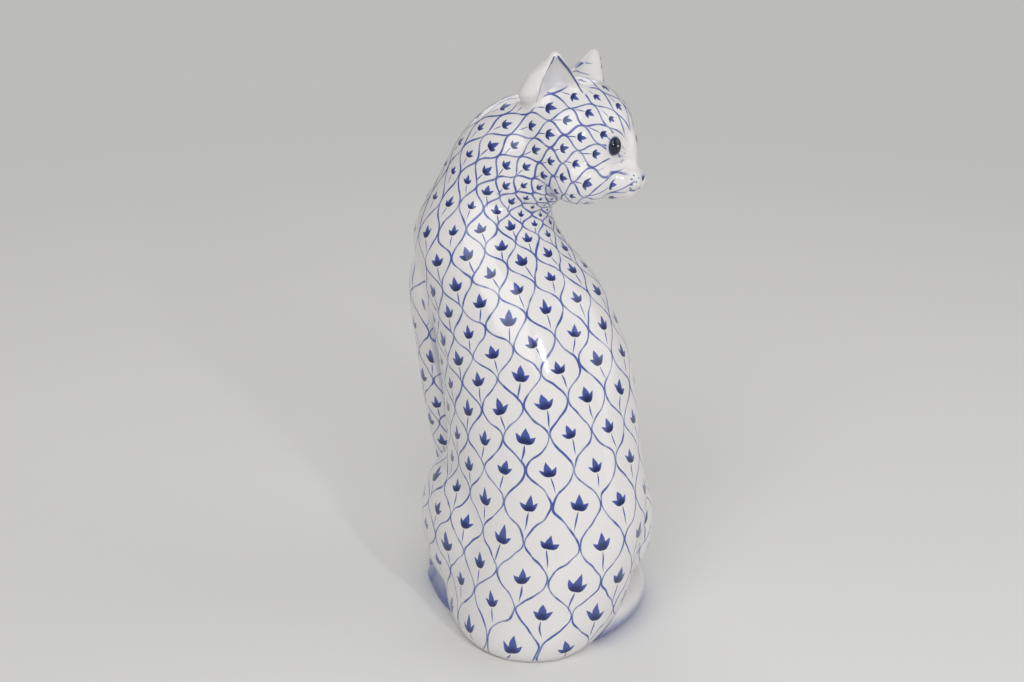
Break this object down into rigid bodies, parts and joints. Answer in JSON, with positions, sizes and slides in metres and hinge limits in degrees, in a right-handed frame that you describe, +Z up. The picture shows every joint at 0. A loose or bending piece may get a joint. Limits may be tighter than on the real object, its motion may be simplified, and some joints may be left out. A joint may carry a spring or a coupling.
{
  "type": "cat figurine",
  "caption": "Seated hand-painted porcelain cat that looks back over its right shoulder, with its tail curled round its feet.",
  "frame": {"origin": "middle of the whole figurine's bounding box, on the surface that it stands on", "axes": "+Z up; the chest faces -Y; the cat's own left side is +X"},
  "size_m": [0.0994, 0.133, 0.2414],
  "materials": {
    "porcelain": "clear gloss glaze over white porcelain, with cobalt brushwork under it",
    "cobalt": "clear gloss glaze over dense cobalt blue",
    "bisque": "unglazed fired porcelain"
  },
  "bodies": {
    "root": {"body_casting": "porcelain", "head_casting": "porcelain", "left_ear": "porcelain", "right_ear": "porcelain", "left_foreleg": "porcelain", "right_foreleg": "porcelain", "left_hind_foot": "porcelain", "right_hind_foot": "porcelain", "tail": "porcelain", "closing_slab": "bisque", "left_eye": "cobalt", "right_eye": "cobalt", "nose": "cobalt"}
  },
  "joints": []
}
